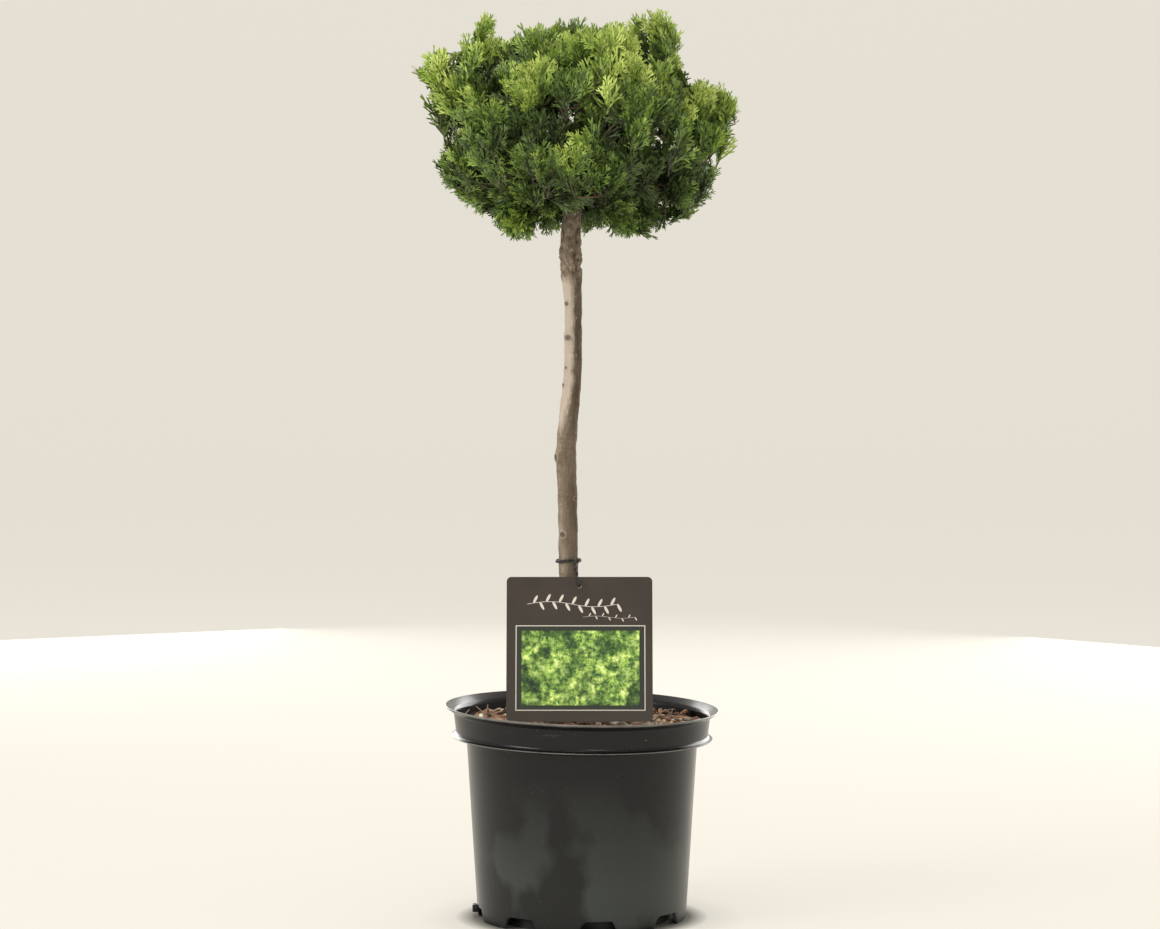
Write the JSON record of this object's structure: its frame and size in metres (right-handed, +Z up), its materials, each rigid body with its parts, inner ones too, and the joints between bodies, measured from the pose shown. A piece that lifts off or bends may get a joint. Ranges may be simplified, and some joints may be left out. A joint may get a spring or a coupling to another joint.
{
  "type": "standard lollipop topiary in a nursery pot",
  "caption": "Dwarf conifer grafted as a standard: bare S-bent stem, loose round head of flat-sprayed foliage, round nursery pot with potting mix, and a blank hang tag.",
  "frame": {"origin": "middle of the pot's flat underside, on the surface the pot stands on", "axes": "+Z up along the pot's axis; -Y is the front, where the hang tag hangs; +X to the right seen from the front"},
  "size_m": [0.2751, 0.2301, 0.7588],
  "materials": {
    "pot_plastic": "satin black injection-moulded plastic with light scuffs",
    "potting_mix": "rough moist bark mulch and peat",
    "bark": "rough grey-brown bark with knots and pale flecks",
    "foliage": "matte scale leaves in flat sprays, lime at the tips, dark green inside",
    "tag_card": "semi-gloss dark brown plastic card with a pale line frame and a green leaf panel",
    "tie_wire": "black coated twist wire"
  },
  "bodies": {
    "root": {"bough_back_left": "bark", "bough_back_low": "bark", "bough_back_middle": "bark", "bough_back_right": "bark", "bough_back_top": "bark", "bough_bottom_left": "bark", "bough_bottom_right": "bark", "bough_front_left": "bark", "bough_front_middle": "bark", "bough_front_right": "bark", "bough_front_top": "bark", "bough_lower_left": "bark", "bough_lower_right": "bark", "bough_right_shoulder": "bark", "bough_top_left": "bark", "bough_top_middle": "bark", "bough_top_right": "bark", "bough_upper_left": "bark", "label_card": "tag_card", "label_tie": "tie_wire", "mass_back_left": "foliage", "mass_back_low": "foliage", "mass_back_middle": "foliage", "mass_back_right": "foliage", "mass_back_top": "foliage", "mass_bottom_left": "foliage", "mass_bottom_right": "foliage", "mass_front_left": "foliage", "mass_front_middle": "foliage", "mass_front_right": "foliage", "mass_front_top": "foliage", "mass_left_spur": "foliage", "mass_lower_left": "foliage", "mass_lower_right": "foliage", "mass_right_shoulder": "foliage", "mass_top_left": "foliage", "mass_top_middle": "foliage", "mass_top_right": "foliage", "mass_upper_left": "foliage", "mulch": "potting_mix", "pot": "pot_plastic", "root_ball": "potting_mix", "trunk": "bark"}
  },
  "joints": []
}
